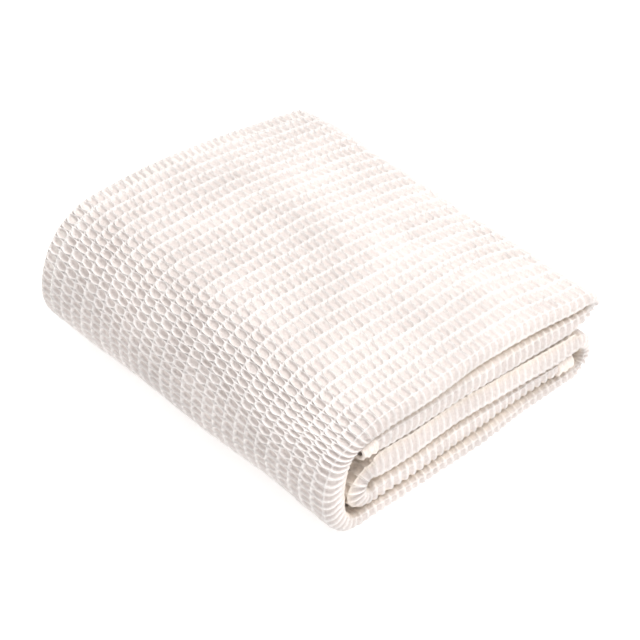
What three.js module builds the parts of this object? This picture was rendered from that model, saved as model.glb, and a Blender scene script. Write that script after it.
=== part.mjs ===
// A folded throw blanket: one strip of waffle cloth, four plies thick, folded into five layers.
// Millimetres, +Z up. X runs along the folds, the front fold faces -Y, and the cloth lies on Z = 0.
// The strip is cut into solids where it bends, so that each layer and each fold is a piece of its own.
import * as THREE from 'three';

// overall sizes
const width = 330; // along the folds
const depth = 290; // front fold to back fold
const layerThickness = 14.7; // four plies pressed together
const edgeRounding = 6.2; // roll of the cloth along the layered side

// open space between one layer and the next, where the folded edges spread apart
const innerGap = 1.8; // bottom layer to inner layer
const middleGap = { front: 10, back: 1.8 };
const tuckedGap = { front: 13, back: 10.5 };
const topGap = { front: 15.5, back: 0.6 };

// folds
const lowerFrontReach = 32; // how far the front fold stands out from the bottom layer
const upperFrontReach = 54; // and from the top layer
const backWrapReach = 14.5;
const backWrapInset = 2; // the back wrap stops this far short of the back fold
const curlInset = 31; // front of the curl, behind the front of the blanket
const tuckedEndInset = 34; // the tucked layer's hem, behind the front of the blanket
const innerEndClearance = 9.5; // the inner layer's hem to the inside of the back wrap

// hems, sewing and label
const hemWidth = 16;
const hemRecess = 1.2; // the pressed hem is thinner than the waffle on each face
const threadThickness = 0.8;
const threadWidth = 1.2;
const labelSize = { along: 26, drop: 34, thickness: 1 };
const labelFromBack = 46;

const clearance = 0.4; // between neighbouring solids
const arcSteps = 10;
const layerSteps = 10;

// where things lie, worked out from the sizes above
const half = layerThickness / 2;
const frontY = -depth / 2;
const backY = depth / 2;
const bottomZ = half;
const innerZ = bottomZ + layerThickness + innerGap;
const middleZ = stackOn({ front: innerZ, back: innerZ }, middleGap);
const tuckedZ = stackOn(middleZ, tuckedGap);
const topZ = stackOn(tuckedZ, topGap);
const hingeZ = (topZ.front + half) / 2; // the fold opens about its foremost line
const sideX = -width / 2 + labelSize.thickness + clearance; // outer face of the side hems

function stackOn(below, gap) {
  return {
    front: below.front + layerThickness + gap.front,
    back: below.back + layerThickness + gap.back,
  };
}

// A path in the YZ plane, given by its stations: each has a place and a heading.
class FoldPath extends THREE.Curve {
  constructor(stations) {
    super();
    this.stations = stations;
  }
  stationAt(u) {
    return this.stations[Math.round(u * (this.stations.length - 1))];
  }
  getPointAt(u) {
    const station = this.stationAt(u);
    return new THREE.Vector3(0, station.y, station.z);
  }
  getTangentAt(u) {
    const heading = this.stationAt(u).heading;
    return new THREE.Vector3(0, Math.cos(heading), Math.sin(heading));
  }
  // the section's x stays along X all the way, and its y is across the strip
  computeFrenetFrames(segments) {
    const frames = { tangents: [], normals: [], binormals: [] };
    for (let i = 0; i <= segments; i++) {
      const tangent = this.getTangentAt(i / segments);
      const normal = new THREE.Vector3(1, 0, 0);
      frames.tangents.push(tangent);
      frames.normals.push(normal);
      frames.binormals.push(new THREE.Vector3().crossVectors(tangent, normal));
    }
    return frames;
  }
}

// Stations of a layer from (y0, z0) to (y1, z1). It starts and ends level, and a bend over 1
// keeps it level for longer before it falls or rises.
function layerStations(y0, z0, y1, z1, bend = 1, steps = layerSteps) {
  const height = (u) => z0 + (z1 - z0) * THREE.MathUtils.smoothstep(u ** bend, 0, 1);
  const nudge = 1e-4;
  return Array.from({ length: steps + 1 }, (_, i) => {
    const u = i / steps;
    const low = Math.max(0, u - nudge);
    const high = Math.min(1, u + nudge);
    const level = i === 0 || i === steps;
    const rise = level ? 0 : height(high) - height(low);
    const run = (y1 - y0) * (high - low);
    return { y: y0 + (y1 - y0) * u, z: height(u), heading: Math.atan2(rise, run) };
  });
}

// Stations of an elliptical bend. Angles are in degrees: 0 is its +Y end, 90 its top.
function bendStations(y, z, reachY, reachZ, from, to, steps = arcSteps) {
  const turn = Math.sign(to - from);
  return Array.from({ length: steps + 1 }, (_, i) => {
    const angle = THREE.MathUtils.degToRad(from + ((to - from) * i) / steps);
    const c = Math.cos(angle);
    const s = Math.sin(angle);
    const heading = Math.atan2(turn * reachZ * c, -turn * reachY * s);
    return { y: y + reachY * c, z: z + reachZ * s, heading };
  });
}

// Ends pulled back so that neighbouring solids don't touch.
function shorten(stations, start, end) {
  const moved = stations.map((station) => ({ ...station }));
  const first = moved[0];
  const last = moved[moved.length - 1];
  first.y += Math.cos(first.heading) * start;
  first.z += Math.sin(first.heading) * start;
  last.y -= Math.cos(last.heading) * end;
  last.z -= Math.sin(last.heading) * end;
  return moved;
}

// The layered side shows a rolled edge, the other side of a section is square.
function rolledSection(x0, x1, thickness) {
  const h = thickness / 2;
  const r = Math.min(edgeRounding, h - 0.2);
  const section = new THREE.Shape();
  section.moveTo(x0, -h);
  section.lineTo(x1 - r, -h);
  section.absarc(x1 - r, -h + r, r, -Math.PI / 2, 0);
  section.absarc(x1 - r, h - r, r, 0, Math.PI / 2);
  section.lineTo(x0, h);
  section.closePath();
  return section;
}

function squareSection(x0, x1, y0, y1) {
  const section = new THREE.Shape();
  section.moveTo(x0, y0);
  section.lineTo(x1, y0);
  section.lineTo(x1, y1);
  section.lineTo(x0, y1);
  section.closePath();
  return section;
}

function sweep(section, stations) {
  return new THREE.ExtrudeGeometry(section, {
    steps: stations.length - 1,
    curveSegments: 4,
    extrudePath: new FoldPath(stations),
  });
}

// materials
const waffleCotton = new THREE.MeshStandardMaterial({ color: 0xf3efe8, roughness: 0.95 });
const hemCotton = new THREE.MeshStandardMaterial({ color: 0xefeae1, roughness: 0.9 });
const sewingThread = new THREE.MeshStandardMaterial({ color: 0xf7f4ee, roughness: 0.7 });
const labelSatin = new THREE.MeshStandardMaterial({ color: 0xfbfaf7, roughness: 0.5 });

const blanket = new THREE.Group();

function add(name, geometry, material) {
  const mesh = new THREE.Mesh(geometry, material);
  mesh.name = name;
  blanket.add(mesh);
  return mesh;
}

// Where each bend is centred
const lowerFrontY = frontY + half + lowerFrontReach;
const upperFrontY = frontY + half + upperFrontReach;
const tipRadius = (topZ.back - tuckedZ.back) / 2;
const tipY = backY - half - tipRadius;
const tipZ = (topZ.back + tuckedZ.back) / 2;
const wrapHeight = (middleZ.back - bottomZ) / 2;
const wrapY = backY - backWrapInset - half - backWrapReach;
const curlRadius = (middleZ.front - innerZ) / 2;
const curlY = frontY + curlInset + half + curlRadius;
const tuckedEndY = frontY + tuckedEndInset;
const innerEndY = wrapY + backWrapReach - half - innerEndClearance;

// The strip's run, piece by piece: the upper half from its tucked hem to the front line...
const tuckedRun = layerStations(tuckedEndY + hemWidth, tuckedZ.front, tipY, tuckedZ.back, 0.7);
const tipRun = bendStations(tipY, tipZ, tipRadius, tipRadius, -90, 90);
const topRun = layerStations(upperFrontY, topZ.front, tipY, topZ.back, 1.5).reverse().map(turned);
const upperFrontRun = bendStations(
  upperFrontY, hingeZ, upperFrontReach, topZ.front - hingeZ, 90, 180,
);
// ...and the lower half from the front line to its inner hem
const lowerFrontRun = bendStations(
  lowerFrontY, hingeZ, lowerFrontReach, hingeZ - bottomZ, 180, 270,
);
const bottomRun = layerStations(lowerFrontY, bottomZ, wrapY, bottomZ, 1, 2);
const wrapRun = bendStations(
  wrapY, bottomZ + wrapHeight, backWrapReach, wrapHeight, -90, 90,
);
const middleRun = layerStations(curlY, middleZ.front, wrapY, middleZ.back, 2).reverse().map(turned);
const curlRun = bendStations(curlY, innerZ + curlRadius, curlRadius, curlRadius, 90, 270);
const innerRun = layerStations(curlY, innerZ, innerEndY - hemWidth, innerZ, 1, 2);

function turned(station) {
  return { ...station, heading: station.heading + Math.PI };
}

// Layers and folds, each with its rolled edge on the layered side
const bodyX = sideX + hemWidth + clearance; // the cloth proper starts beside the hems
const clothSection = rolledSection(bodyX, width / 2, layerThickness);
const cut = clearance / 2;
const upperPieces = {
  tucked_layer: tuckedRun,
  back_fold: tipRun,
  top_layer: topRun,
  upper_front_fold: upperFrontRun,
};
const lowerPieces = {
  lower_front_fold: lowerFrontRun,
  bottom_layer: bottomRun,
  back_wrap: wrapRun,
  middle_layer: middleRun,
  curl_fold: curlRun,
  inner_layer: innerRun,
};
for (const [name, run] of Object.entries({ ...upperPieces, ...lowerPieces })) {
  add(name, sweep(clothSection, shorten(run, cut, cut)), waffleCotton);
}

// The hems across the strip's two ends
function endHem(name, endY, z, towards) {
  const start = endY + towards * hemWidth;
  const thickness = layerThickness - 2 * hemRecess;
  const run = layerStations(Math.min(start, endY), z, Math.max(start, endY), z, 1, 1);
  add(`${name}_hem`, sweep(rolledSection(bodyX, width / 2, thickness), shorten(run, cut, cut)), hemCotton);
  const threadY = endY + towards * hemWidth * 0.75;
  const threadRun = layerStations(threadY - threadWidth / 2, z, threadY + threadWidth / 2, z, 1, 1);
  const low = thickness / 2 + clearance;
  const section = squareSection(bodyX, width / 2 - edgeRounding, low, low + threadThickness);
  add(`${name}_thread`, sweep(section, threadRun), sewingThread);
}
endHem('tucked_end', tuckedEndY, tuckedZ.front, 1);
endHem('inner_end', innerEndY, innerZ, -1);

// The hems down the strip's hidden side, with their rows of stitches on the outer face
function joined(runs) {
  return runs.flatMap((run, i) => (i === 0 ? run : run.slice(1)));
}
function sideHem(name, stations) {
  const h = layerThickness / 2 - hemRecess;
  const run = shorten(stations, cut, cut);
  add(`${name}_side_hem`, sweep(squareSection(sideX, sideX + hemWidth, -h, h), run), hemCotton);
  const threadX = sideX + hemWidth * 0.75;
  const low = h + clearance;
  const section = squareSection(
    threadX - threadWidth / 2, threadX + threadWidth / 2, low, low + threadThickness,
  );
  add(`${name}_side_thread`, sweep(section, run), sewingThread);
}
sideHem('upper', joined([tuckedRun, tipRun, topRun, upperFrontRun]));
sideHem('lower', joined([lowerFrontRun, bottomRun, wrapRun, middleRun, curlRun, innerRun]));

// A blank care label, sewn into the top layer's hem and hanging down the side
const label = add(
  'care_label',
  new THREE.BoxGeometry(labelSize.thickness, labelSize.along, labelSize.drop),
  labelSatin,
);
const labelTop = topZ.back + half;
label.position.set(
  -width / 2 + labelSize.thickness / 2,
  backY - labelFromBack,
  labelTop - labelSize.drop / 2,
);

export default blanket;
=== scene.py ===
import math

import bpy
import numpy as np
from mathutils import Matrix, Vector


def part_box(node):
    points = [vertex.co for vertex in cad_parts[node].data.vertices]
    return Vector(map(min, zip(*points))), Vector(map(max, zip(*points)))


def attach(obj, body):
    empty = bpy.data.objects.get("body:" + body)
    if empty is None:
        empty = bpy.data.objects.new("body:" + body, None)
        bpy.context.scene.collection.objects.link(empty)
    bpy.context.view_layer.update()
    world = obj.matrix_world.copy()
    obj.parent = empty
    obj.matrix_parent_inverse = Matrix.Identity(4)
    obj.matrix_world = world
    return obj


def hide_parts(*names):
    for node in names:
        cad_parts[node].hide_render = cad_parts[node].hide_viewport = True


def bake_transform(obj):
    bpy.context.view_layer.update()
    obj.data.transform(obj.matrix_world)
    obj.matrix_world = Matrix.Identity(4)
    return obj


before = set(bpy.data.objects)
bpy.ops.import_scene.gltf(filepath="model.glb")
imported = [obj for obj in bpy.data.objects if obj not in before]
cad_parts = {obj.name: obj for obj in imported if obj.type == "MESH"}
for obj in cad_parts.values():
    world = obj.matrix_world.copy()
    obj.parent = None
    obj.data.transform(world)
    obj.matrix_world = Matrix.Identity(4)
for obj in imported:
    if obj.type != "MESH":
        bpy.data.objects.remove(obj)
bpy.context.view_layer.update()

mm = 0.001


# Camera, aimed a little below the middle of the throw
viewPoint = {
    "azimuth": 46.9,
    "elevation": 41.06,
    "distance": 1.899,
    "lens": 136.7,
    "middle": (0.0, 0.0, 57.0 * mm),
    "aimRight": 2.2 * mm,
    "aimDown": 17.8 * mm,
}


def makeCamera():
    az = math.radians(viewPoint["azimuth"])
    el = math.radians(viewPoint["elevation"])
    back = Vector((math.sin(az) * math.cos(el), -math.cos(az) * math.cos(el), math.sin(el)))
    right = Vector((math.cos(az), math.sin(az), 0.0))
    up = back.cross(right)
    middle = Vector(viewPoint["middle"])
    place = middle + back * viewPoint["distance"]
    aim = middle + right * viewPoint["aimRight"] - up * viewPoint["aimDown"]
    camera = bpy.data.objects.new("camera", bpy.data.cameras.new("camera"))
    bpy.context.scene.collection.objects.link(camera)
    camera.data.lens = viewPoint["lens"]
    camera.data.clip_start = 0.05
    camera.data.clip_end = 20.0
    camera.location = place
    camera.rotation_euler = (aim - place).to_track_quat("-Z", "Y").to_euler()
    bpy.context.scene.camera = camera


makeCamera()
print("camera placed")


def smooth(value, low, high):
    u = np.clip((value - low) / (high - low), 0.0, 1.0)
    return u * u * (3.0 - 2.0 * u)


def drift(a, b, reach, seed, waves=7):
    # slow wander over (a, b), about -1 to 1, repeating nowhere near the same place
    rng = np.random.default_rng(seed)
    total = 0.0
    for _ in range(waves):
        way, phase = rng.uniform(0.0, 2.0 * math.pi, 2)
        rate = 2.0 * math.pi / reach * rng.uniform(0.55, 1.6)
        total = total + np.sin(rate * (a * math.cos(way) + b * math.sin(way)) + phase)
    return total / math.sqrt(2.0 * waves)


# The strip's run through its five layers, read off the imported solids
def nodeBox(name):
    low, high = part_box(name)
    return np.array(low), np.array(high)


def levelRun(start, end, bend=1.0):
    u = np.linspace(0.0, 1.0, 160)
    return np.stack([start[0] + (end[0] - start[0]) * u,
                     start[1] + (end[1] - start[1]) * smooth(u ** bend, 0.0, 1.0)], 1)


def bendRun(y, z, reachY, reachZ, fromAngle, toAngle):
    a = np.radians(np.linspace(fromAngle, toAngle, 140))
    return np.stack([y + reachY * np.cos(a), z + reachZ * np.sin(a)], 1)


strip = {
    "trim": 0.2 * mm,  # the solids are cut this much short of where the runs meet
    "hem": 16.0 * mm,
    "plyInset": 1.05 * mm,  # middle of the outer ply, below the layer's face
    "turnUnder": 1.5 * mm,  # a hem lies this far off its ply
    "innerPly": 1.8 * mm,  # inner plies, either side of the layer's middle
    "frontBulk": 8.5 * mm,  # the inner plies fill out the inside of the front fold
    "curlBulk": 5.0 * mm,  # and push the curl out towards it
    "layerAir": 0.1 * mm,  # left between one layer and the next where they sag together
    "sagMost": 7.0 * mm,
    "sagFront": (-112.0 * mm, -78.0 * mm),  # the layers begin to sag over this stretch
    "sagBack": (116.0 * mm, 132.0 * mm),  # and stop over this one
    "fanFrom": (18.0 * mm, 48.0 * mm),  # in from the hidden side, where they begin to spread
    "sideSeam": 11.5 * mm,  # from a long side's fold to its row of stitches
    "endBare": 17.0 * mm,  # the side stitches stop this far short of the strip's ends
}


def readRuns():
    trim = strip["trim"]
    bottom, inner = nodeBox("bottom_layer"), nodeBox("inner_layer")
    middle, tucked, top = nodeBox("middle_layer"), nodeBox("tucked_layer"), nodeBox("top_layer")
    half = (bottom[1][2] - bottom[0][2]) / 2
    bottomZ, innerZ = half, (inner[0][2] + inner[1][2]) / 2
    middleZ = (middle[1][2] - half, middle[0][2] + half)  # front, back
    tuckedZ = (tucked[1][2] - half, tucked[0][2] + half)
    topZ = (top[1][2] - half, top[0][2] + half)
    lowerY, wrapY = bottom[0][1] - trim, bottom[1][1] + trim
    upperY, tipY = top[0][1] - trim, top[1][1] + trim
    curlY = middle[0][1] - trim
    frontY = nodeBox("lower_front_fold")[0][1]
    hingeZ = (topZ[0] + bottomZ) / 2
    curlReach = curlY - half - nodeBox("curl_fold")[0][1]
    wrapReach = nodeBox("back_wrap")[1][1] - half - wrapY
    tipReach = nodeBox("back_fold")[1][1] - half - tipY
    innerEnd = nodeBox("inner_end_hem")[1][1] + trim
    tuckedEnd = nodeBox("tucked_end_hem")[0][1] - trim
    tuckedRun = levelRun((tuckedEnd + strip["hem"], tuckedZ[0]), (tipY, tuckedZ[1]), 0.7)[::-1]
    runs = {
        "inner": levelRun((innerEnd, innerZ), (curlY, innerZ)),
        "curl": bendRun(curlY, (innerZ + middleZ[0]) / 2, curlReach, (middleZ[0] - innerZ) / 2, 270, 90),
        "middle": levelRun((curlY, middleZ[0]), (wrapY, middleZ[1]), 2.0),
        "wrap": bendRun(wrapY, (middleZ[1] + bottomZ) / 2, wrapReach, (middleZ[1] - bottomZ) / 2, 90, -90),
        "bottom": levelRun((wrapY, bottomZ), (lowerY, bottomZ)),
        "front": np.concatenate([
            bendRun(lowerY, hingeZ, lowerY - half - frontY, hingeZ - bottomZ, 270, 180)[:-1],
            bendRun(upperY, hingeZ, upperY - half - frontY, topZ[0] - hingeZ, 180, 90)]),
        "top": levelRun((upperY, topZ[0]), (tipY, topZ[1]), 1.5),
        "tip": bendRun(tipY, (topZ[1] + tuckedZ[1]) / 2, tipReach, (topZ[1] - tuckedZ[1]) / 2, 90, -90),
        "tucked": np.concatenate([tuckedRun, [[tuckedEnd, tuckedZ[0]]]]),
    }
    return runs, half


runs, layerHalf = readRuns()
sideX = nodeBox("upper_side_hem")[0][0]
edgeX = nodeBox("top_layer")[1][0]


def gapOver(lower, upper, y):
    # open height between two layers at y
    def heightAt(run):
        line = run[np.argsort(run[:, 0])]
        return np.interp(y, line[:, 0], line[:, 1])
    return heightAt(runs[upper]) - heightAt(runs[lower]) - 2 * layerHalf


def joinRuns():
    points, fanA, fanB, ends = [], [], [], {}
    meets = {  # which gap each face of a layer sags into
        "inner": (None, ("inner", "middle")),
        "middle": (("middle", "tucked"), ("inner", "middle")),
        "tucked": (("middle", "tucked"), ("tucked", "top")),
        "top": (None, ("tucked", "top")),
    }
    for name, run in runs.items():
        run = run if not points else run[1:]
        keep = np.ones(len(run), bool)
        keep[1:] = np.hypot(*np.diff(run, axis=0).T) > 1e-6
        run = run[keep]
        for fans, gap in zip((fanA, fanB), meets.get(name, (None, None))):
            sag = np.zeros(len(run))
            if gap:
                sag = np.clip((gapOver(*gap, run[:, 0]) - strip["layerAir"]) / 2, 0.0, strip["sagMost"])
                sag = sag * smooth(run[:, 0], *strip["sagFront"])
                sag = sag * (1 - smooth(run[:, 0], *strip["sagBack"]))
            elif name == "front" and fans is fanB:
                u = np.linspace(0, 1, len(run))
                sag = strip["frontBulk"] * (smooth(u, 0.1, 0.42) + 0.15 * smooth(u, 0.7, 1.0))
            elif name == "curl" and fans is fanA:
                sag = strip["curlBulk"] * np.sin(np.linspace(0, math.pi, len(run))) ** 2
            fans.append(sag)
        points.append(run)
        ends[name] = sum(len(p) for p in points) - 1
    line = np.concatenate(points)
    heading = np.gradient(line, axis=0)
    heading /= np.linalg.norm(heading, axis=1)[:, None]
    outward = np.stack([-heading[:, 1], heading[:, 0]], 1)
    skin = line + outward * layerHalf
    length = np.concatenate([[0.0], np.cumsum(np.linalg.norm(np.diff(skin, axis=0), axis=1))])
    return {
        "s": length, "line": line, "outward": outward,
        "fanA": np.concatenate(fanA), "fanB": np.concatenate(fanB),
        "ends": {name: length[i] for name, i in ends.items()},
    }


path = joinRuns()
stripLength = path["s"][-1]
print("strip run:", round(stripLength, 3), "m")


# Section across the strip: four plies, folded edge inside folded edge
def sectionLine():
    outer = layerHalf - strip["plyInset"]
    inner = strip["innerPly"]
    foldR = (outer - inner) / 2
    edgeC = edgeX - outer - 1.0 * mm
    foldC = sideX + foldR
    steps = lambda a, b, gap=0.4 * mm: np.linspace(a, b, max(2, int(abs(b - a) / gap)))
    arc = lambda x, n, r, a, b: np.stack([x + r * np.cos(np.radians(np.linspace(a, b, 40))),
                                          n + r * np.sin(np.radians(np.linspace(a, b, 40)))], 1)
    flat = lambda a, b, n: np.stack([steps(a, b), np.full(len(steps(a, b)), n)], 1)
    hemIn, hemOut = inner + strip["turnUnder"], outer - strip["turnUnder"]
    turnR = strip["turnUnder"] / 2
    lipC = sideX + turnR + 0.8 * mm
    parts = [
        flat(sideX + strip["hem"], lipC, hemIn),
        arc(lipC, inner + turnR, turnR, 90, 270),
        flat(lipC, edgeC - 3 * mm, inner),
        arc(edgeC - 3 * mm, 0.0, inner, 90, -90),
        flat(edgeC - 3 * mm, foldC, -inner),
        arc(foldC, -(inner + foldR), foldR, 90, 270),
        flat(foldC, edgeC, -outer),
        arc(edgeC, 0.0, outer, -90, 90),
        flat(edgeC, lipC, outer),
        arc(lipC, outer - turnR, turnR, 90, 270),
        flat(lipC, sideX + strip["hem"], hemOut),
    ]
    marks, points = [], []
    for part in parts:
        points.append(part if not points else part[1:])
        marks.append(sum(len(p) for p in points) - 1)
    line = np.concatenate(points)
    along = np.gradient(line, axis=0)
    along /= np.linalg.norm(along, axis=1)[:, None]
    length = np.concatenate([[0.0], np.cumsum(np.linalg.norm(np.diff(line, axis=0), axis=1))])
    return {
        "t": length, "line": line, "outward": np.stack([along[:, 1], -along[:, 0]], 1),
        "outer": outer,
        "lipStart": length[marks[0]], "lipEnd": length[marks[1]],
        "turnStart": length[marks[2]], "turnEnd": length[marks[3]],
        "foldStart": length[marks[4]], "loopStart": length[marks[5]],
        "edgeStart": length[marks[6]], "edgeEnd": length[marks[7]],
        "loopEnd": length[marks[8]], "hemStart": length[marks[9]],
    }


section = sectionLine()
clothWidth = section["t"][-1]
print("cloth width:", round(clothWidth, 3), "m")

shape = {
    "height": 112.0 * mm,  # of the whole pile
    "ridgeWander": 1.8 * mm,  # how far the folded edges stray from one line
    "swell": 1.3 * mm,  # slow rise and fall of the upper layers
    "sideSwell": 1.2 * mm,
    "lean": 4.0 * mm,
    "frontWave": 1.4 * mm,
    "droop": 14.0 * mm,  # the top sinks towards the front end of its folded edge
    "crown": 6.0 * mm,  # and stands fuller over the middle and back
    "pinch": 3.5 * mm,  # the back fold comes to a point
    "corner": 3.0 * mm,  # the far back corner is worn soft
}


def settle(points):
    # slow, soft unevenness of the whole pile; the floor side stays flat
    x, y, z = points[..., 0], points[..., 1], points[..., 2]
    share = np.clip(z / shape["height"], 0.0, 1.1)
    lift = shape["swell"] * drift(x, y, 170 * mm, 11) * share ** 1.2
    side = shape["sideSwell"] * drift(y, z, 120 * mm, 12) * smooth(x, 40 * mm, 160 * mm)
    front = smooth(-y, 60 * mm, 140 * mm)
    lean = -shape["lean"] * front * np.sin(np.clip(share, 0.0, 1.0) * 2 * math.pi) * 0.5
    wave = shape["frontWave"] * drift(x, z * 1.5, 150 * mm, 13) * front
    sink = shape["droop"] * smooth(x, 0 * mm, 160 * mm) * (1 - smooth(y, -60 * mm, 95 * mm))
    sink = sink * smooth(z, 70 * mm, 109 * mm)
    full = smooth(x, -160 * mm, -40 * mm) * (1 - smooth(x, 95 * mm, 155 * mm))
    full = full * smooth(y, -30 * mm, 75 * mm) * (1 - smooth(y, 100 * mm, 140 * mm))
    lift = lift + shape["crown"] * full * smooth(z, 35 * mm, 95 * mm)
    atBack = smooth(y, 124 * mm, 146 * mm) * smooth(z, 50 * mm, 58 * mm)
    tipMiddle = (runs["tip"][0][1] + runs["tip"][-1][1]) / 2
    off = z - tipMiddle
    point = shape["pinch"] * atBack * np.exp(-(off / (7 * mm)) ** 2)
    worn = shape["corner"] * smooth(-x, 120 * mm, 166 * mm)
    worn = worn * smooth(y, 100 * mm, 146 * mm) * smooth(z, 45 * mm, 85 * mm)
    return np.stack([x + side + 0.8 * worn, y + lean + wave + point - 0.8 * worn,
                     z + lift - sink - 0.28 * off * atBack - 0.6 * worn], -1)


def onStrip(s, t, lift=0.0):
    # a point of the cloth: s along the strip, t across the cloth, lift off its own middle
    s, t = np.broadcast_arrays(np.asarray(s, float), np.asarray(t, float))
    at = lambda table, key, value, i: np.interp(value, table[key], i)
    y = at(path, "s", s, path["line"][:, 0])
    z = at(path, "s", s, path["line"][:, 1])
    ny = at(path, "s", s, path["outward"][:, 0])
    nz = at(path, "s", s, path["outward"][:, 1])
    size = np.hypot(ny, nz)
    ny, nz = ny / size, nz / size
    fanA = at(path, "s", s, path["fanA"])
    fanB = at(path, "s", s, path["fanB"])
    x = at(section, "t", t, section["line"][:, 0])
    n = at(section, "t", t, section["line"][:, 1])
    ex = at(section, "t", t, section["outward"][:, 0])
    en = at(section, "t", t, section["outward"][:, 1])
    inFront = smooth(s, path["ends"]["bottom"], path["ends"]["bottom"] + 10 * mm)
    inFront = inFront * (1 - smooth(s, path["ends"]["front"] - 10 * mm, path["ends"]["front"]))
    room = smooth(x - sideX, *strip["fanFrom"])
    inCurl = (s > path["ends"]["inner"]) & (s < path["ends"]["curl"])
    atEdge = 0.98 + 0.02 * smooth(edgeX - x, 3 * mm, 13 * mm)
    room = room * np.maximum(np.maximum(inFront, inCurl), atEdge)
    n = n + np.where(n > 0, fanA, fanB) * room * n / section["outer"]
    x = x + lift * ex
    n = n + lift * en
    x = x + shape["ridgeWander"] * drift(s, s * 0.3, 210 * mm, 5) * smooth(x, 40 * mm, 160 * mm)
    return settle(np.stack([x, y + n * ny, z + n * nz], -1))


# Waffle relief: straight ribs along the strip, and between them a chain of rings, each round a pit
waffle = {
    "column": 11.95 * mm,
    "row": 7.2 * mm,
    "rise": 2.7 * mm,  # pit floor to rib top
    "ribWidth": 0.6 * mm,
    "ribHeight": 0.85,
    "ringCrest": 0.45 * mm,
    "ringSide": 1.6 * mm,  # thickness of a ring where it lies along a rib
    "ringWall": 0.4 * mm,
    "ringGap": 0.05 * mm,  # half the distance between two rings where they almost touch
    "ringCut": 1.95 * mm,  # how far a ring draws back towards its sides
    "bow": 0.8 * mm,
    "rowWander": 1.5 * mm,  # slow drift of the rows along the strip
    "ribWander": 0.9 * mm,  # and of the ribs across it
    "ribWaver": 0.35 * mm,  # their shorter, finer one
    "bareEnd": (14.0 * mm, 20.0 * mm),  # the relief starts beyond the end hems
    "sewnFlat": 2.0 * mm,  # either side of a row of stitches
    "shoulder": 72.0,  # degrees round the folded edge where a rib sits
    "seed": 24,
}
ringLines = 10  # grid lines to a cell along the strip
plainStep = 12 * mm  # between grid lines of the plies inside
foldLead = 8 * mm  # finer again this far before the outer ply's hidden fold
# where the grid lines of a column lie, as shares of its width
columnSteps = np.array([0.0, 0.05, 0.11, 0.19, 0.32, 0.5, 0.68, 0.81, 0.89, 0.95])


def layLines():
    rows = int(round(stripLength / waffle["row"]))
    # ribs are counted from the one on the shoulder of the folded edge
    turn = (waffle["shoulder"] + 90.0) / 180.0
    anchor = section["edgeStart"] + turn * (section["edgeEnd"] - section["edgeStart"])
    first = math.ceil((section["loopStart"] - anchor) / waffle["column"])
    last = math.floor((section["loopEnd"] - anchor) / waffle["column"])
    outer = anchor + waffle["column"] * np.concatenate([k + columnSteps for k in range(first, last + 1)])
    outer = outer[outer < section["loopEnd"] - 0.5 * mm]
    t = np.concatenate([
        np.linspace(0.0, section["lipStart"], 5)[:-1],
        np.linspace(section["lipStart"], section["lipEnd"], 6),
        np.arange(section["lipEnd"] + plainStep, section["turnStart"] - 4 * mm, plainStep),
        np.linspace(section["turnStart"], section["turnEnd"], 7),
        np.arange(section["turnEnd"] + plainStep, section["foldStart"] - 10 * mm, plainStep),
        np.linspace(section["foldStart"] - foldLead, section["loopStart"], 10),
        outer,
        np.linspace(section["loopEnd"], section["hemStart"], 6),
        np.linspace(section["hemStart"], clothWidth, 5)[1:],
    ])
    t = np.unique(np.round(t, 7))
    return rows, t, (t - anchor) / waffle["column"]


cellRows, columnLines, columnCount = layLines()
rowPitch = stripLength / cellRows


def cellTable(rows, columns, seed):
    # one value per cell, alike for a few cells down each column
    rng = np.random.default_rng(seed)
    raw = rng.normal(size=(rows + 8, columns))
    run = sum(raw[i:i + rows] for i in range(5)) / math.sqrt(5)
    return 0.65 * run + 0.65 * rng.normal(size=(rows, columns))


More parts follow.
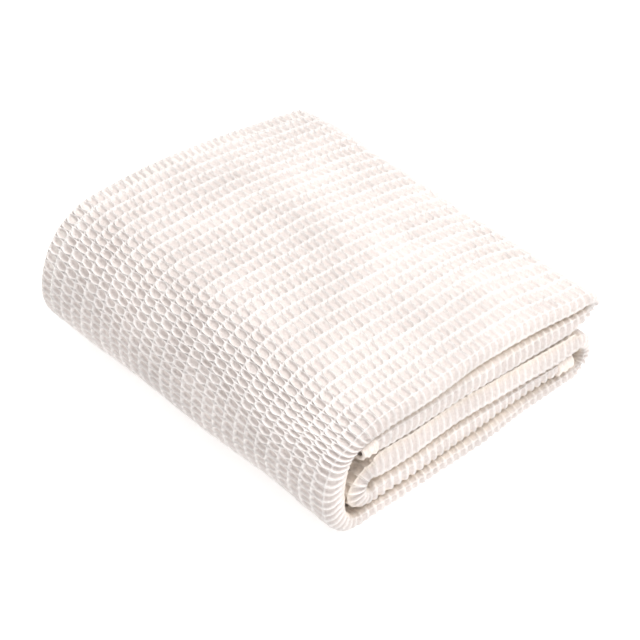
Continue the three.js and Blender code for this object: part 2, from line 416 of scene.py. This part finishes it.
def layWaffle():
    low = int(math.floor(columnCount[0]))
    columns = int(math.ceil(columnCount[-1])) - low + 2
    table = lambda shift: cellTable(cellRows + 2, columns, waffle["seed"] + shift)
    bows, depths = -0.3 + 0.8 * table(0), 1.0 + 0.12 * table(1)
    lowArcs, highArcs = 0.96 + 0.1 * table(2), 0.92 + 0.12 * table(3)
    k, q = np.divmod(np.arange(cellRows * ringLines + 1), ringLines)
    j = np.floor(columnCount + 1e-6).astype(int)
    u = np.clip(columnCount - j, 0.0, 1.0)[None, :]
    k, q, j = k[:, None], q[:, None], (j - low)[None, :]
    t = np.broadcast_to(columnLines[None, :], (k.shape[0], j.shape[1]))
    onLoop = smooth(t, section["loopStart"] - 1 * mm, section["loopStart"] + 4 * mm)
    onLoop = onLoop * (1 - smooth(t, section["loopEnd"] + 1 * mm, section["hemStart"] + 3 * mm))
    onEdge = smooth(t, section["edgeStart"] - 6 * mm, section["edgeStart"]) \
        * (1 - smooth(t, section["edgeEnd"] - 3 * mm, section["edgeEnd"] + 9 * mm))
    # where the grid lines of a cell lie, and how high each stands
    sideways = np.abs(2 * u - 1)
    back = waffle["ringGap"] + waffle["ringCut"] * sideways ** 2.2 * (1 - 0.75 * onEdge)
    crest = back + waffle["ringCrest"]
    wall = crest + waffle["ringWall"]
    half = rowPitch / 2
    offsets = np.select([q == i for i in range(ringLines)], [
        0.0 * back, back, crest, wall, (wall + half) / 2, half + 0.0 * back,
        rowPitch - (wall + half) / 2, rowPitch - wall, rowPitch - crest, rowPitch - back])
    lowArc = np.clip(lowArcs[k, j], 0.6, 1.0)
    highArc = np.clip(highArcs[k + 1, j], 0.5, 1.0)
    between = 0.85 - 0.75 * smooth(sideways, 0.1, 0.5) * (1 - 0.75 * onEdge)
    stands = np.select([q == i for i in range(ringLines)], [
        between, lowArc, 0.95 * lowArc, 0.3 * lowArc, 0.06 + 0 * lowArc, 0.0 * lowArc,
        0.06 + 0 * highArc, 0.3 * highArc, 0.95 * highArc, highArc])
    f = offsets / rowPitch
    belly = 4.0 * u * (1.0 - u) * (1 - 0.6 * onEdge)
    bow = waffle["bow"] * np.clip(bows[k, j] * (1 - f) + bows[k + 1, j] * f, -1.6, 1.6) * belly
    s = k * rowPitch + offsets * onLoop + (1 - onLoop) * rowPitch * q / ringLines
    ends = smooth(s, 0.0, 12 * mm) * smooth(stripLength - s, 0.0, 12 * mm)
    s = s + bow * onLoop * ends + waffle["rowWander"] * drift(t, s, 160 * mm, 31) * ends
    for wander, reach, seed in (("ribWander", 130 * mm, 32), ("ribWaver", 26 * mm, 33)):
        held = smooth(section["loopEnd"] - t, 0.0, 20 * mm)
        t = t + waffle[wander] * drift(s, t, reach, seed) * onLoop * held
    away = np.minimum(u, 1 - u) * waffle["column"]
    inRing = (q >= 2) & (q <= ringLines - 2)
    stands = np.maximum(stands, 0.8 * inRing * np.exp(-(away / waffle["ringSide"]) ** 4) * (1 - onEdge))
    rib = np.exp(-(away / waffle["ribWidth"]) ** 2)
    height = 1 - (1 - waffle["ribHeight"] * rib) * (1 - 0.96 * stands)
    flat = smooth(s, *waffle["bareEnd"]) * smooth(stripLength - s, *waffle["bareEnd"])
    sewn = np.exp(-((t - stitchT) / waffle["sewnFlat"]) ** 2)
    firstFold = smooth(t, section["foldStart"] - 6 * mm, section["loopStart"])
    weight = flat * np.where(t < section["loopStart"], 0.5 * firstFold, onLoop) * (1 - 0.5 * sewn)
    # little relief where the cloth is squeezed inside a tight fold
    bare = onStrip(s, t)
    pace = np.linalg.norm(np.gradient(bare, axis=0), axis=2) / np.abs(np.gradient(s, axis=0))
    weight = weight * smooth(pace, 0.2, 0.65)
    lift = waffle["rise"] * weight * depths[k, j] * (height - 0.6)
    lift = np.minimum(lift, 0.8 * mm + 9 * mm * smooth(bare[..., 2], 0.0, 6 * mm))
    # the last value is the relief height share, which also sets the painted pit shade in the colour
    return s, t, lift, height * weight + (1 - weight)


stitchT = section["loopEnd"] - strip["sideSeam"]  # the long-side hems are sewn along this line
gridS, gridT, gridLift, gridRelief = layWaffle()
gridPoints = onStrip(gridS, gridT, gridLift)
gridNormals = np.cross(np.gradient(gridPoints, axis=0), np.gradient(gridPoints, axis=1))
gridNormals /= np.maximum(np.linalg.norm(gridNormals, axis=2), 1e-15)[..., None]


def layPaintedGrooveShade():
    # painted warm shade mask: 1 where a layer's edge turns in towards the next one, 0 where it lies open or
    # far inside
    inside = smooth(gridT, section["edgeStart"] - 30 * mm, section["edgeStart"] - 6 * mm)
    inside = inside * (1 - smooth(gridT, section["edgeEnd"] + 6 * mm, section["edgeEnd"] + 30 * mm))
    turn = (gridT - section["edgeStart"]) / (section["edgeEnd"] - section["edgeStart"]) * 2 - 1
    under = smooth(-turn, 0.25, 0.95)
    over = smooth(turn, 0.25, 0.95)
    pastFront = smooth(gridS, path["ends"]["bottom"] - 40 * mm, path["ends"]["bottom"]) \
        * (1 - smooth(gridS, path["ends"]["tip"] - 20 * mm, path["ends"]["tip"] + 20 * mm))
    pastMiddle = smooth(gridS, path["ends"]["middle"], path["ends"]["middle"] + 15 * mm)
    return inside * (under + over * (1 - np.maximum(pastFront, pastMiddle)))


gridPaintedGrooveShade = layPaintedGrooveShade()
print("waffle grid:", gridPoints.shape[:2])


# Where the grid is kept fine, and where nothing shows it
fine = (range(ringLines), range(len(columnSteps)))
medium = ((0, 1, 5, 9), (0, 2, 5, 8))
plain = ((0,), (0,))
everyColumn = range(len(columnSteps))
faceDetail = {"inner": plain, "curl": medium, "middle": medium, "wrap": fine, "bottom": medium,
              "front": fine, "top": fine, "tip": fine, "tucked": medium}
underDetail = {"front": medium}
originColumn = int(np.argmin(np.abs(columnCount)))


def lineAt(t):
    return int(np.argmin(np.abs(columnLines - t)))


def rowsOf(zone):
    # the front piece reaches one cell into the layers on either side of its bend
    names = list(runs)
    i = names.index(zone)
    cellAt = lambda name: int(round(path["ends"][name] / rowPitch))
    start = 0 if i == 0 else cellAt(names[i - 1])
    end = cellRows if zone == names[-1] else cellAt(zone)
    start += {"front": -1, "top": 1}.get(zone, 0)
    end += {"front": 1, "bottom": -1}.get(zone, 0)
    return start * ringLines, end * ringLines


def blocksOf(zone):
    r0, r1 = rowsOf(zone)
    lip, fold = lineAt(section["lipEnd"]), lineAt(section["foldStart"] - foldLead)
    loop, end = lineAt(section["loopStart"]), lineAt(section["loopEnd"])
    lowEdge = int(np.argmin(np.abs(columnCount + 3)))
    highEdge = int(np.argmin(np.abs(columnCount - 1)))
    return {
        "hem": [(r0, r1, 0, lip, (0,), everyColumn),
                (r0, r1, end, len(columnLines) - 1, medium[0], everyColumn)],
        "cloth": [(r0, r1, lip, fold, (0,), everyColumn),
                  (r0, r1, fold, loop, medium[0], everyColumn),
                  (r0, r1, loop, lowEdge, *underDetail.get(zone, plain)),
                  (r0, r1, lowEdge, highEdge, *fine),
                  (r0, r1, highEdge, end, *faceDetail[zone])],
    }


def pickLines(start, end, pattern, cycle, origin):
    picked = [i for i in range(start, end + 1) if (i - origin) % cycle in pattern]
    return np.unique([start, *picked, end])


def clothFaces():
    blocks = {(zone, part): group for zone in runs for part, group in blocksOf(zone).items()}
    used = np.zeros(gridPoints.shape[:2], bool)
    lines = {}
    for group in blocks.values():
        for block in group:
            rows = pickLines(block[0], block[1], block[4], ringLines, 0)
            columns = pickLines(block[2], block[3], block[5], len(columnSteps), originColumn)
            lines[block[:4]] = (rows, columns)
            used[np.ix_(rows, columns)] = True
    wide = used.shape[1]
    alongSum = np.cumsum(used, axis=0)
    acrossSum = np.cumsum(used, axis=1)
    faces = {}
    for key, group in blocks.items():
        quads, others = [], []
        for block in group:
            rows, columns = lines[block[:4]]
            r0, c0 = np.meshgrid(rows[:-1], columns[:-1], indexing="ij")
            r1, c1 = np.meshgrid(rows[1:], columns[1:], indexing="ij")
            simple = (acrossSum[r0, c1] - acrossSum[r0, c0] == 1)
            simple &= (acrossSum[r1, c1] - acrossSum[r1, c0] == 1)
            simple &= (alongSum[r1, c0] - alongSum[r0, c0] == 1)
            simple &= (alongSum[r1, c1] - alongSum[r0, c1] == 1)
            four = np.stack([r0 * wide + c0, r1 * wide + c0, r1 * wide + c1, r0 * wide + c1], -1)
            quads.append(four[simple])
            # a coarse cell beside finer ones takes their points into its edge
            for a, b, c, d in zip(*(m[~simple] for m in (r0, r1, c0, c1))):
                left = [r * wide + c for r in range(a, b) if used[r, c]]
                far = [b * wide + i for i in range(c, d) if used[b, i]]
                right = [r * wide + d for r in range(b, a, -1) if used[r, d]]
                near = [a * wide + i for i in range(d, c, -1) if used[a, i]]
                others.append(left + far + right + near)
        faces[key] = (np.concatenate(quads), others)
    return faces


gridFaces = clothFaces()


def meshPiece(name, vertices, faces, material, normals=None, lay=None, **masks):
    mesh = bpy.data.meshes.new(name)
    mesh.from_pydata(vertices.tolist(), [], faces)
    mesh.update()
    mesh.shade_smooth()
    corner = np.zeros(len(mesh.loops), np.int32)
    mesh.loops.foreach_get("vertex_index", corner)
    if lay is not None:
        sheetLay = mesh.uv_layers.new(name="clothLay")
        sheetLay.data.foreach_set("uv", lay[corner].astype(np.float32).ravel())
    for label, mask in masks.items():
        held = mesh.attributes.new(label, "FLOAT", "POINT")
        held.data.foreach_set("value", mask.astype(np.float32))
    if normals is not None:
        mesh.normals_split_custom_set_from_vertices(normals.tolist())
    mesh.materials.append(material)
    piece = bpy.data.objects.new(name, mesh)
    bpy.context.scene.collection.objects.link(piece)
    return piece


# Materials
tones = {
    "rib": (0.92, 0.872, 0.848, 1.0),
    # painted shade in the waffle pits, darker and warmer than the ribs
    "pitShade": (0.775, 0.70, 0.665, 1.0),
    # painted warm shade where a layer's edge turns in towards the next
    "nook": (0.96, 0.845, 0.73, 1.0),
    # the hem's own cotton colour, darkened as painted shade to match the shaded waffle cloth
    "hem": (0.83, 0.775, 0.73, 1.0),
    "thread": (0.92, 0.90, 0.87, 1.0),
    "satin": (0.84, 0.83, 0.81, 1.0),
    "floor": (0.93, 0.93, 0.93, 1.0),
}


def nodeTool(tree):
    def put(kind, inputs=(), **settings):
        node = tree.nodes.new(kind)
        for key, value in settings.items():
            setattr(node, key, value)
        for key, value in dict(inputs).items():
            socket = node.inputs[key]
            if isinstance(value, bpy.types.NodeSocket):
                tree.links.new(value, socket)
            else:
                socket.default_value = value
        return node
    return put


def newGroup(name, inputs, outputs):
    tree = bpy.data.node_groups.new(name, "ShaderNodeTree")
    for label, kind, value in inputs:
        socket = tree.interface.new_socket(name=label, in_out="INPUT", socket_type=kind)
        if value is not None:
            socket.default_value = value
    for label, kind in outputs:
        tree.interface.new_socket(name=label, in_out="OUTPUT", socket_type=kind)
    return tree, nodeTool(tree)


def weaveGroup():
    # crossing threads, one over one under, with a little slub
    tree, put = newGroup("crossingThreads", [
        ("Lay", "NodeSocketVector", None),
        ("Threads per metre", "NodeSocketFloat", 1500.0),
        ("Slub", "NodeSocketFloat", 0.5),
    ], [("Height", "NodeSocketFloat"), ("Mask", "NodeSocketFloat")])
    given = put("NodeGroupInput").outputs
    math2 = lambda what, a, b=0.0: put("ShaderNodeMath", {0: a, 1: b}, operation=what).outputs[0]
    noise = lambda scale, detail: put("ShaderNodeTexNoise", {
        "Vector": given["Lay"], "Scale": scale, "Detail": detail}).outputs["Fac"]
    wander = noise(160.0, 2.0)
    lay = put("ShaderNodeSeparateXYZ", {0: given["Lay"]}).outputs
    shift = math2("MULTIPLY", wander, 0.004)
    u = math2("MULTIPLY", math2("ADD", lay[0], shift), given["Threads per metre"])
    v = math2("MULTIPLY", math2("ADD", lay[1], shift), given["Threads per metre"])
    warp = math2("ABSOLUTE", math2("SINE", math2("MULTIPLY", u, math.pi)))
    weft = math2("ABSOLUTE", math2("SINE", math2("MULTIPLY", v, math.pi)))
    turn = math2("MODULO", math2("ADD", math2("FLOOR", u), math2("FLOOR", v)), 2.0)
    over = math2("ABSOLUTE", turn)
    first = math2("MULTIPLY", warp, math2("ADD", math2("MULTIPLY", over, 0.45), 0.55))
    second = math2("MULTIPLY", weft, math2("SUBTRACT", 1.0, math2("MULTIPLY", over, 0.45)))
    threads = math2("MAXIMUM", first, second)
    fuzz = noise(1900.0, 3.0)
    slub = noise(560.0, 2.0)
    rough = math2("ADD", math2("MULTIPLY", fuzz, 0.6), math2("MULTIPLY", slub, given["Slub"]))
    height = math2("ADD", math2("MULTIPLY", threads, 0.6), rough)
    put("NodeGroupOutput", {"Height": height, "Mask": threads})
    return tree


def mixColours(put, factor, first, second):
    node = put("ShaderNodeMix", data_type="RGBA")
    for wanted, value in (("Factor", factor), ("A", first), ("B", second)):
        socket = [s for s in node.inputs if s.name == wanted and s.enabled][0]
        socket.id_data.links.new(value, socket)
    return [s for s in node.outputs if s.enabled][0]


def toneGroup():
    # cotton colour: the rib colour on the ribs, a darker, warmer painted shade in the pits, a painted warm
    # shade where a layer's edge turns in towards the next, a little painted shade between the threads,
    # drifting slowly over the cloth
    tree, put = newGroup("cottonToneAndShade", [
        ("Lay", "NodeSocketVector", None),
        ("Relief", "NodeSocketFloat", 1.0),
        ("Painted groove shade", "NodeSocketFloat", 0.0),
        ("Rib colour", "NodeSocketColor", tones["rib"]),
        ("Pit shade colour", "NodeSocketColor", tones["pitShade"]),
        ("Painted groove shade colour", "NodeSocketColor", tones["nook"]),
        ("Threads", "NodeSocketFloat", 0.5),
    ], [("Color", "NodeSocketColor"), ("Roughness", "NodeSocketFloat")])
    given = put("NodeGroupInput").outputs
    noise = lambda scale, detail: put("ShaderNodeTexNoise", {
        "Vector": given["Lay"], "Scale": scale, "Detail": detail}).outputs["Fac"]
    slow = noise(14.0, 3.0)
    speck = noise(700.0, 2.0)
    # painted shade in the pits: pit colour where the relief is low, rib colour on the ribs
    mask = put("ShaderNodeMapRange", {"Value": given["Relief"],
                                      "From Min": 0.08, "From Max": 0.8}).outputs[0]
    ribAndPitShade = mixColours(put, mask, given["Pit shade colour"], given["Rib colour"])
    # painted warm shade mixed in where a layer's edge turns in towards the next
    grooveShadeShare = put("ShaderNodeMath", {0: given["Painted groove shade"], 1: 0.75}, operation="MULTIPLY").outputs[0]
    colour = mixColours(put, grooveShadeShare, ribAndPitShade, given["Painted groove shade colour"])
    mottle = put("ShaderNodeMath", {0: slow, 1: speck}, operation="ADD").outputs[0]
    dull = put("ShaderNodeMapRange", {"Value": mottle, "From Min": 0.8, "From Max": 1.2,
                                      "To Min": 0.925, "To Max": 1.045}).outputs[0]
    # painted shade between the threads: up to 6 per cent darker where the weave is low
    threadShade = put("ShaderNodeMapRange", {"Value": given["Threads"],
                                         "To Min": 0.94, "To Max": 1.0}).outputs[0]
    mottleAndThreadShade = put("ShaderNodeMath", {0: dull, 1: threadShade}, operation="MULTIPLY").outputs[0]
    toned = put("ShaderNodeVectorMath", {0: colour, 1: mottleAndThreadShade}, operation="MULTIPLY").outputs[0]
    roughness = put("ShaderNodeMapRange", {"Value": speck, "To Min": 0.86, "To Max": 1.0}).outputs[0]
    put("NodeGroupOutput", {"Color": toned, "Roughness": roughness})
    return tree


threadNodes, toneNodes = weaveGroup(), toneGroup()


def clothMaterial(name, ribTone, pitShadeTone, threads, bump, sheen, reliefMask=True, slub=0.5):
    material = bpy.data.materials.new(name)
    material.use_nodes = True
    tree = material.node_tree
    tree.nodes.clear()
    put = nodeTool(tree)
    lay = put("ShaderNodeUVMap", uv_map="clothLay").outputs["UV"]
    weave = put("ShaderNodeGroup", node_tree=threadNodes)
    tree.links.new(lay, weave.inputs["Lay"])
    weave.inputs["Threads per metre"].default_value = threads
    weave.inputs["Slub"].default_value = slub
    tone = put("ShaderNodeGroup", node_tree=toneNodes)
    tree.links.new(lay, tone.inputs["Lay"])
    tree.links.new(weave.outputs["Mask"], tone.inputs["Threads"])
    tone.inputs["Rib colour"].default_value = ribTone
    tone.inputs["Pit shade colour"].default_value = pitShadeTone
    if reliefMask:
        # the relief height sets how much painted pit shade the colour takes
        relief = put("ShaderNodeAttribute", attribute_name="relief").outputs["Fac"]
        tree.links.new(relief, tone.inputs["Relief"])
        # how much painted warm groove shade the colour takes
        nook = put("ShaderNodeAttribute", attribute_name="nook").outputs["Fac"]
        tree.links.new(nook, tone.inputs["Painted groove shade"])
    normal = put("ShaderNodeBump", {"Strength": 0.7, "Distance": bump,
                                    "Height": weave.outputs["Height"]})
    surface = put("ShaderNodeBsdfPrincipled", {
        "Base Color": tone.outputs["Color"],
        "Roughness": tone.outputs["Roughness"],
        "Normal": normal.outputs["Normal"],
        "Specular IOR Level": 0.2,
        "Sheen Weight": sheen,
        "Sheen Roughness": 0.45,
        "Sheen Tint": (1.0, 0.97, 0.93, 1.0),
    })
    put("ShaderNodeOutputMaterial", {"Surface": surface.outputs[0]})
    return material


waffleCotton = clothMaterial("waffleCotton", tones["rib"], tones["pitShade"],
                             1350.0, 0.55 * mm, 0.05, slub=3.0)
hemCotton = clothMaterial("hemCotton", tones["hem"], tones["pitShade"], 1700.0, 0.18 * mm, 0.1)
sewingThread = clothMaterial("sewingThread", tones["thread"], tones["thread"],
                             3200.0, 0.1 * mm, 0.15, reliefMask=False)
labelSatin = clothMaterial("labelSatin", tones["satin"], tones["satin"],
                           3600.0, 0.04 * mm, 0.0, reliefMask=False, slub=0.1)
print("materials made")


def dressPiece(piece, moves):
    if moves == "front":
        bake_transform(piece)
    else:
        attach(piece, moves)
    return piece


def clothPiece(name, zones, moves, part="cloth", material=waffleCotton):
    quads = np.concatenate([gridFaces[zone, part][0] for zone in zones])
    others = [face for zone in zones for face in gridFaces[zone, part][1]]
    kept = np.unique(np.concatenate([quads.ravel(), *others]).astype(int))
    renumber = np.full(gridPoints.shape[0] * gridPoints.shape[1], -1)
    renumber[kept] = np.arange(len(kept))
    faces = renumber[quads].tolist() + [renumber[face].tolist() for face in others]
    flat = lambda grid: grid.reshape(-1, *grid.shape[2:])[kept]
    lay = np.stack([flat(gridT), flat(gridS)], 1)
    piece = meshPiece(name, flat(gridPoints), faces, material, flat(gridNormals), lay,
                      relief=flat(gridRelief), nook=flat(gridPaintedGrooveShade))
    print(name, len(kept), "points", len(faces), "faces")
    return dressPiece(piece, moves)


lowerZones = ["inner", "curl", "middle", "wrap", "bottom"]
upperZones = ["top", "tip", "tucked"]
parts = (("lower", lowerZones, "lower_half"), ("front", ["front"], "front"),
         ("upper", upperZones, "upper_half"))
cloths = {name: clothPiece(name + "Cloth", zones, moves) for name, zones, moves in parts}
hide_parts("inner_layer", "curl_fold", "middle_layer", "back_wrap", "bottom_layer")
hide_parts("lower_front_fold", "upper_front_fold")
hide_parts("top_layer", "back_fold", "tucked_layer")
sideHems = {name: clothPiece(name + "SideHem", zones, moves, "hem", hemCotton)
            for name, zones, moves in parts}
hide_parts("lower_side_hem")
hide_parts("upper_side_hem")
print("cloth laid, long sides hemmed")


# Hems across the strip's two ends, pressed flat
endHem = {
    "thickness": 2.2 * mm,
    "inset": 0.3 * mm,  # its folded edge from the end of the strip
    "pucker": 0.16 * mm,
    "rung": 0.9 * mm,  # the waffle's rows show through it
    "stitchLine": 12.0 * mm,
}


def tubeFaces(stations, ring):
    faces = []
    for i in range(stations - 1):
        for k in range(ring):
            here, beside = i * ring + k, i * ring + (k + 1) % ring
            faces.append([here, beside, beside + ring, here + ring])
    faces.append(list(range(ring))[::-1])
    faces.append([(stations - 1) * ring + k for k in range(ring)])
    return faces


def makeEndHem(name, edge, way, moves, node):
    h = endHem["thickness"] / 2
    width = strip["hem"]
    across = [0.0, 0.5, 1.6, 2.6, 4.8, 6.2, 7.2, 8.2, 10.4, 12.0, 13.4, 14.4, 15.3, 16.0]
    lift = [0.4, 1.0, 1.15, 0.75, 0.7, 0.95, 1.3, 0.95, 0.7, 0.65, 0.95, 1.25, 0.95, 0.4]
    across = np.array(across + across[::-1]) * mm * width / (across[-1] * mm)
    lift = np.array(lift + [-v for v in lift[::-1]]) * h
    t = np.unique(np.concatenate([
        np.linspace(0, clothWidth, 420),
        *[np.linspace(section[a], section[b], 12) for a, b in (
            ("lipStart", "lipEnd"), ("turnStart", "turnEnd"), ("foldStart", "loopStart"),
            ("edgeStart", "edgeEnd"), ("loopEnd", "hemStart"))]]))
    s = edge + way * across[None, :]
    t2 = np.broadcast_to(t[:, None], (len(t), len(across)))
    pucker = endHem["pucker"] * np.sin(t2 / (3.7 * mm) * 2 * math.pi)
    rung = np.exp(-((s - rowPitch * np.round(s / rowPitch)) / (1.3 * mm)) ** 2)
    outside = smooth(t2, section["foldStart"], section["loopStart"])
    points = onStrip(s, t2, lift[None, :] + pucker + endHem["rung"] * rung * outside * np.sign(lift))
    lay = np.stack([t2, np.broadcast_to(s, t2.shape)], -1)
    faces = tubeFaces(len(t), len(across))
    if way > 0:
        faces = [face[::-1] for face in faces]
    # painted pit shade between the rungs that show through, less on the rungs
    hemReliefShadeMask = np.broadcast_to(0.1 + 0.7 * rung, t2.shape)
    # the whole end hem takes a steady 0.3 share of the painted warm groove shade
    piece = meshPiece(name, points.reshape(-1, 3), faces, hemCotton, None, lay.reshape(-1, 2),
                      relief=hemReliefShadeMask.reshape(-1), nook=np.full(t2.size, 0.3))
    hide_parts(node)
    return dressPiece(piece, moves)


innerHem = makeEndHem("innerEndHem", endHem["inset"], 1, "lower_half", "inner_end_hem")
tuckedHem = makeEndHem("tuckedEndHem", stripLength - endHem["inset"], -1, "upper_half", "tucked_end_hem")
print("ends hemmed")


# Stitches: each a short length of thread that dips into the cloth at both ends
stitches = {
    "long": 2.9 * mm,
    "pitch": 3.7 * mm,
    "radius": 0.36 * mm,
    "lift": 0.75 * mm,  # off the cloth's own middle
}


def stitchRow(name, start, end, along, moves, node):
    # along(distance, sideways, lift) gives points on the cloth
    starts = np.arange(start, end - stitches["long"], stitches["pitch"])
    u = np.array([0.0, 0.14, 0.5, 0.86, 1.0])
    arch = np.array([-0.5, 0.25, 0.6, 0.25, -0.5]) * stitches["radius"]
    thick = np.array([0.45, 0.9, 1.0, 0.9, 0.45]) * stitches["radius"]
    a = np.linspace(0, 2 * math.pi, 7)[:-1]
    distance = starts[:, None, None] + u[None, :, None] * stitches["long"]
    sideways = thick[None, :, None] * np.cos(a)
    lift = arch[None, :, None] + thick[None, :, None] * np.sin(a)
    distance, sideways, lift = np.broadcast_arrays(distance, sideways, lift)
    points = along(distance, sideways, lift)
    one = tubeFaces(len(u), len(a))
    faces = [[i * len(u) * len(a) + v for v in face] for i in range(len(starts)) for face in one]
    lay = np.stack([sideways, distance], -1)
    piece = meshPiece(name, points.reshape(-1, 3), faces, sewingThread, None, lay.reshape(-1, 2))
    if node:
        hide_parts(node)
    return dressPiece(piece, moves)


def sideStitch(s, sideways, lift):
    return onStrip(s, stitchT + sideways, lift + stitches["lift"])


def endStitch(edge, way):
    def along(t, sideways, lift):
        at = edge + way * (endHem["stitchLine"] + sideways)
        return onStrip(at, t, lift + stitches["lift"])
    return along


rowAt = lambda zone, i: rowsOf(zone)[i] / ringLines * rowPitch
sideRuns = {"lower": (strip["endBare"], rowAt("bottom", 1)), "front": (rowAt("front", 0), rowAt("front", 1)),
            "upper": (rowAt("top", 0), stripLength - strip["endBare"])}
sideThreads = {
    name: stitchRow(name + "SideStitches", *sideRuns[name], sideStitch, moves,
                    {"lower": "lower_side_thread", "upper": "upper_side_thread"}.get(name))
    for name, _, moves in parts}
endRow = (section["loopStart"] + 6 * mm, section["loopEnd"] - 3 * mm)
innerThread = stitchRow("innerEndStitches", *endRow, endStitch(endHem["inset"], 1),
                        "lower_half", "inner_end_thread")
tuckedThread = stitchRow("tuckedEndStitches", *endRow, endStitch(stripLength - endHem["inset"], -1),
                         "upper_half", "tucked_end_thread")
print("sewn")


# Blank satin label, folded double and caught in the long-side hem of the top layer
label = {
    "thickness": 0.22 * mm,
    "standOff": 1.6 * mm,  # clear of the layers' sides
    "curl": 2.2 * mm,  # its foot swings out
    "ripple": 0.5 * mm,
    "plyApart": (0.8 * mm, 0.3 * mm),  # from its front ply to the one behind
}


def makeLabel():
    low, high = nodeBox("care_label")
    middleY, wide = (low[1] + high[1]) / 2, (high[1] - low[1]) * 0.96
    top, foot = high[2] - 3.4 * mm, low[2] + 0.6 * mm
    x = sideX - label["standOff"]
    drop = np.linspace(0, 1, 16)
    swing = label["curl"] * drop ** 2
    front = np.stack([x - swing, top - 2 * mm + (foot - top + 2 * mm) * drop], 1)
    lead = np.array([[sideX + 6 * mm, top], [sideX + 3 * mm, top], [sideX + 0.4 * mm, top],
                     [x + 0.5 * mm, top - 0.4 * mm], [x + 0.1 * mm, top - 1.1 * mm]])
    under = np.array([[x - label["curl"] + 0.35 * mm, foot - 0.25 * mm],
                      [x - label["curl"] + 0.75 * mm, foot + 0.2 * mm]])
    back = front[::-1][1:-1] + label["plyApart"]
    line = np.concatenate([lead, front, under, back])
    across = np.linspace(-0.5, 0.5, 13)
    way = np.gradient(line, axis=0)
    way /= np.linalg.norm(way, axis=1)[:, None]
    normal = np.stack([way[:, 1], -way[:, 0]], 1)
    ripple = label["ripple"] * np.sin(across * 5.0 + 0.6)
    layers = []
    for side in (0.5, -0.5):
        offset = side * label["thickness"]
        xz = line[:, None, :] + normal[:, None, :] * offset
        free = np.clip(np.arange(len(line)) / len(line) * 2, 0, 1)[:, None]
        px = xz[..., 0] - ripple[None, :] * free
        py = middleY + across[None, :] * wide + 0 * px
        pz = xz[..., 1] + 0 * px
        layers.append(np.stack([px, py, pz], -1))
    rows, columns = len(line), len(across)
    count = rows * columns
    faces = []
    for i in range(rows - 1):
        for k in range(columns - 1):
            a = i * columns + k
            faces.append([a, a + 1, a + columns + 1, a + columns])
            faces.append([count + a + columns, count + a + columns + 1, count + a + 1, count + a])
    rim = list(range(columns)) + [i * columns + columns - 1 for i in range(1, rows)] \
        + [(rows - 1) * columns + k for k in range(columns - 2, -1, -1)] \
        + [i * columns for i in range(rows - 2, 0, -1)]
    for a, b in zip(rim, rim[1:] + rim[:1]):
        faces.append([b, a, count + a, count + b])
    points = np.concatenate([layer.reshape(-1, 3) for layer in layers])
    length = np.concatenate([[0.0], np.cumsum(np.linalg.norm(np.diff(line, axis=0), axis=1))])
    lay = np.stack(np.meshgrid(length, across * wide, indexing="ij"), -1).reshape(-1, 2)
    piece = meshPiece("careLabel", points, faces, labelSatin, None, np.concatenate([lay, lay]))
    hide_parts("care_label")
    return dressPiece(piece, "upper_half")


careLabel = makeLabel()


# Floor, light
ground = {
    "reach": 6.0,
    "height": -0.5 * mm,  # just clear of the cloth
    "glow": 0.42,
}


def makeStage():
    reach = ground["reach"]
    mesh = bpy.data.meshes.new("floor")
    corners = [(-reach, -reach, 0), (reach, -reach, 0), (reach, reach, 0), (-reach, reach, 0)]
    mesh.from_pydata(corners, [], [(0, 1, 2, 3)])
    floor = bpy.data.objects.new("floor", mesh)
    floor.location.z = ground["height"]
    bpy.context.scene.collection.objects.link(floor)
    material = bpy.data.materials.new("paleFloor")
    material.use_nodes = True
    surface = material.node_tree.nodes["Principled BSDF"]
    surface.inputs["Base Color"].default_value = tones["floor"]
    surface.inputs["Roughness"].default_value = 0.9
    surface.inputs["Specular IOR Level"].default_value = 0.1
    surface.inputs["Emission Color"].default_value = (1.0, 1.0, 1.0, 1.0)
    surface.inputs["Emission Strength"].default_value = ground["glow"]
    mesh.materials.append(material)


lighting = {
    "world": 0.68,
    "key": {"from": (0.7, 0.3, 2.05), "size": 1.3, "power": 42.0},
    "fill": {"from": (-1.4, -1.2, 1.2), "size": 1.8, "power": 3.0},
}


def makeLights():
    world = bpy.data.worlds.new("studio")
    bpy.context.scene.world = world
    world.use_nodes = True
    background = world.node_tree.nodes["Background"]
    background.inputs["Color"].default_value = (1.0, 1.0, 1.0, 1.0)
    background.inputs["Strength"].default_value = lighting["world"]
    for name in ("key", "fill"):
        lamp = bpy.data.lights.new(name, "AREA")
        lamp.energy = lighting[name]["power"]
        lamp.size = lighting[name]["size"]
        light = bpy.data.objects.new(name, lamp)
        light.location = lighting[name]["from"]
        light.rotation_euler = (-Vector(lighting[name]["from"])).to_track_quat("-Z", "Y").to_euler()
        bpy.context.scene.collection.objects.link(light)
    bpy.context.scene.view_settings.view_transform = "Standard"


makeStage()
makeLights()
print("stage and lights set")
